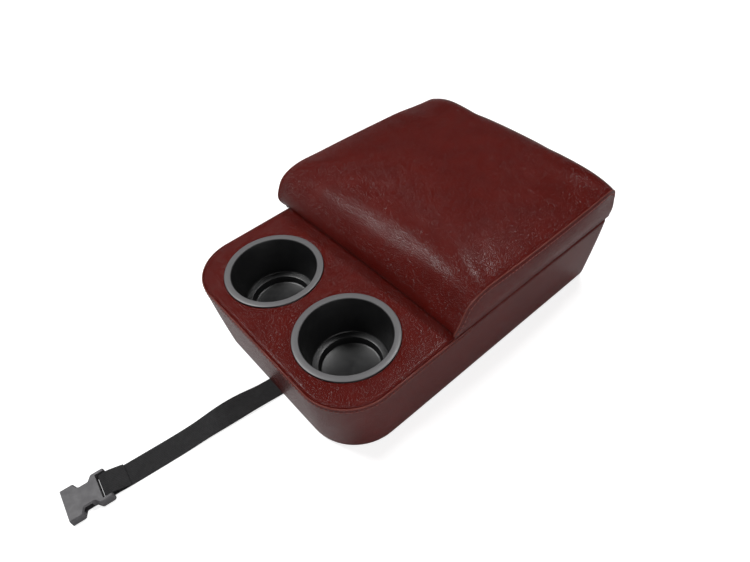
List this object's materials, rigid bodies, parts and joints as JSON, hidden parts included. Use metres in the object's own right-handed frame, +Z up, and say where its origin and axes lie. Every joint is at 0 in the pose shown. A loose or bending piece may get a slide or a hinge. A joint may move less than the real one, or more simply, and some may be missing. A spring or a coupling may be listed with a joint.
{
  "type": "bench seat console",
  "caption": "Upholstered vehicle bench seat console: drop-in cup holders in a padded front deck, a hinged padded armrest lid over a storage box, and a strap with a buckle socket.",
  "frame": {"origin": "middle of the box's footprint, on the seat that it stands on; the strap and buckle don't count", "axes": "+X to the right, +Y to the rear where the hinge is, +Z up; the strap lies forward of the box"},
  "size_m": [0.264, 0.5913, 0.147],
  "materials": {
    "vinyl": "pebbled oxblood vinyl, semi-gloss",
    "cup_plastic": "satin black moulding",
    "webbing": "woven black webbing",
    "buckle_plastic": "matte dark grey moulding",
    "plywood": "raw plywood",
    "foam": "open-cell foam",
    "felt": "black felt",
    "backing": "black backing cloth",
    "hinge_steel": "zinc plated",
    "liner": "non-slip underside sheet"
  },
  "bodies": {
    "console_body": {"bottom_liner": "liner", "base_panel": "plywood", "wall_band": "plywood", "rear_panel": "plywood", "divider_panel": "plywood", "deck_panel": "plywood", "deck_foam": "foam", "deck_cover": "vinyl", "skirt_cover": "vinyl", "storage_lining": "felt", "cup_holder_left": "cup_plastic", "cup_holder_right": "cup_plastic", "hinge_body_leaf": "hinge_steel", "hinge_pin": "hinge_steel", "hinge_body_screws": "hinge_steel", "strap": "webbing", "buckle_socket": "buckle_plastic"},
    "lid": {"lid_top_cover": "vinyl", "lid_side_cover_left": "vinyl", "lid_side_cover_right": "vinyl", "lid_foam": "foam", "lid_board": "plywood", "lid_backing": "backing", "hinge_lid_leaf": "hinge_steel", "hinge_lid_screws": "hinge_steel"}
  },
  "joints": [
    {"name": "lid_hinge", "type": "hinge", "parent": "console_body", "child": "lid", "pos_m": [0, 0.18715, 0.0901], "axis": [-1, 0, 0], "range_deg": [0, 105]}
  ]
}
